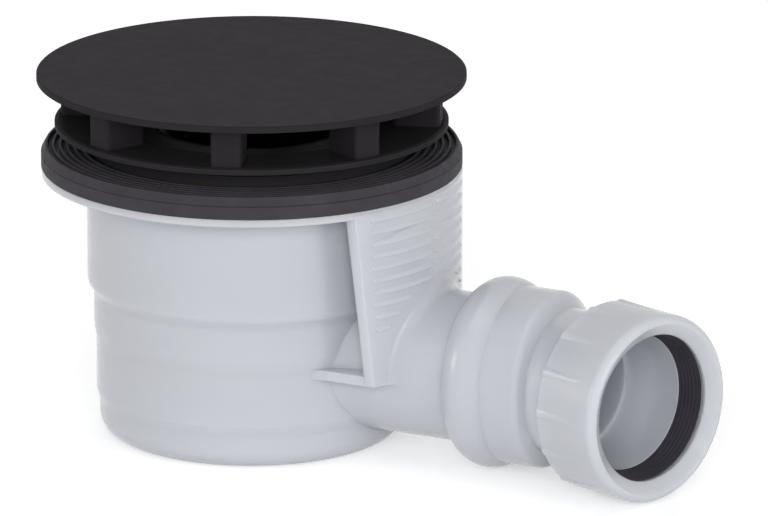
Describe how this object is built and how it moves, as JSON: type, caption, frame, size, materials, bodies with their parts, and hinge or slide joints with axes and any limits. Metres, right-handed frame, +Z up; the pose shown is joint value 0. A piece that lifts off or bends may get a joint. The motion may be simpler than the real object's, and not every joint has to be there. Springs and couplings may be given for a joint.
{
  "type": "shower trap",
  "caption": "Shower tray trap with a black mushroom cover on pillars, ridged rubber washers, a white bowl with a ribbed skirt and a bent swivel outlet with a compression nut.",
  "frame": {"origin": "centre of the flat base of the trap body, on the trap axis", "axes": "+Z up along the trap axis, +X along the outlet stub"},
  "size_m": [0.193, 0.115, 0.0994],
  "materials": {
    "cover_black": "fine matt black",
    "flange_black": "satin black",
    "gasket_rubber": "matt black rubber",
    "white_plastic": "soft gloss white",
    "seal_rubber": "matt black rubber"
  },
  "bodies": {
    "trap": {"trap_body": "white_plastic", "waste_flange": "flange_black", "upper_gasket": "gasket_rubber", "lower_gasket": "gasket_rubber", "mushroom_cover": "cover_black", "dip_tube": "flange_black", "dip_tube_seal": "seal_rubber"},
    "outlet": {"outlet_bend": "white_plastic", "swivel_seal": "seal_rubber", "compression_nut": "white_plastic", "slip_washer": "white_plastic", "pipe_seal": "seal_rubber"}
  },
  "joints": [
    {"name": "outlet_swivel", "type": "hinge", "parent": "trap", "child": "outlet", "pos_m": [0.0748, 0, 0.0259], "axis": [1, 0, 0], "continuous": true}
  ]
}
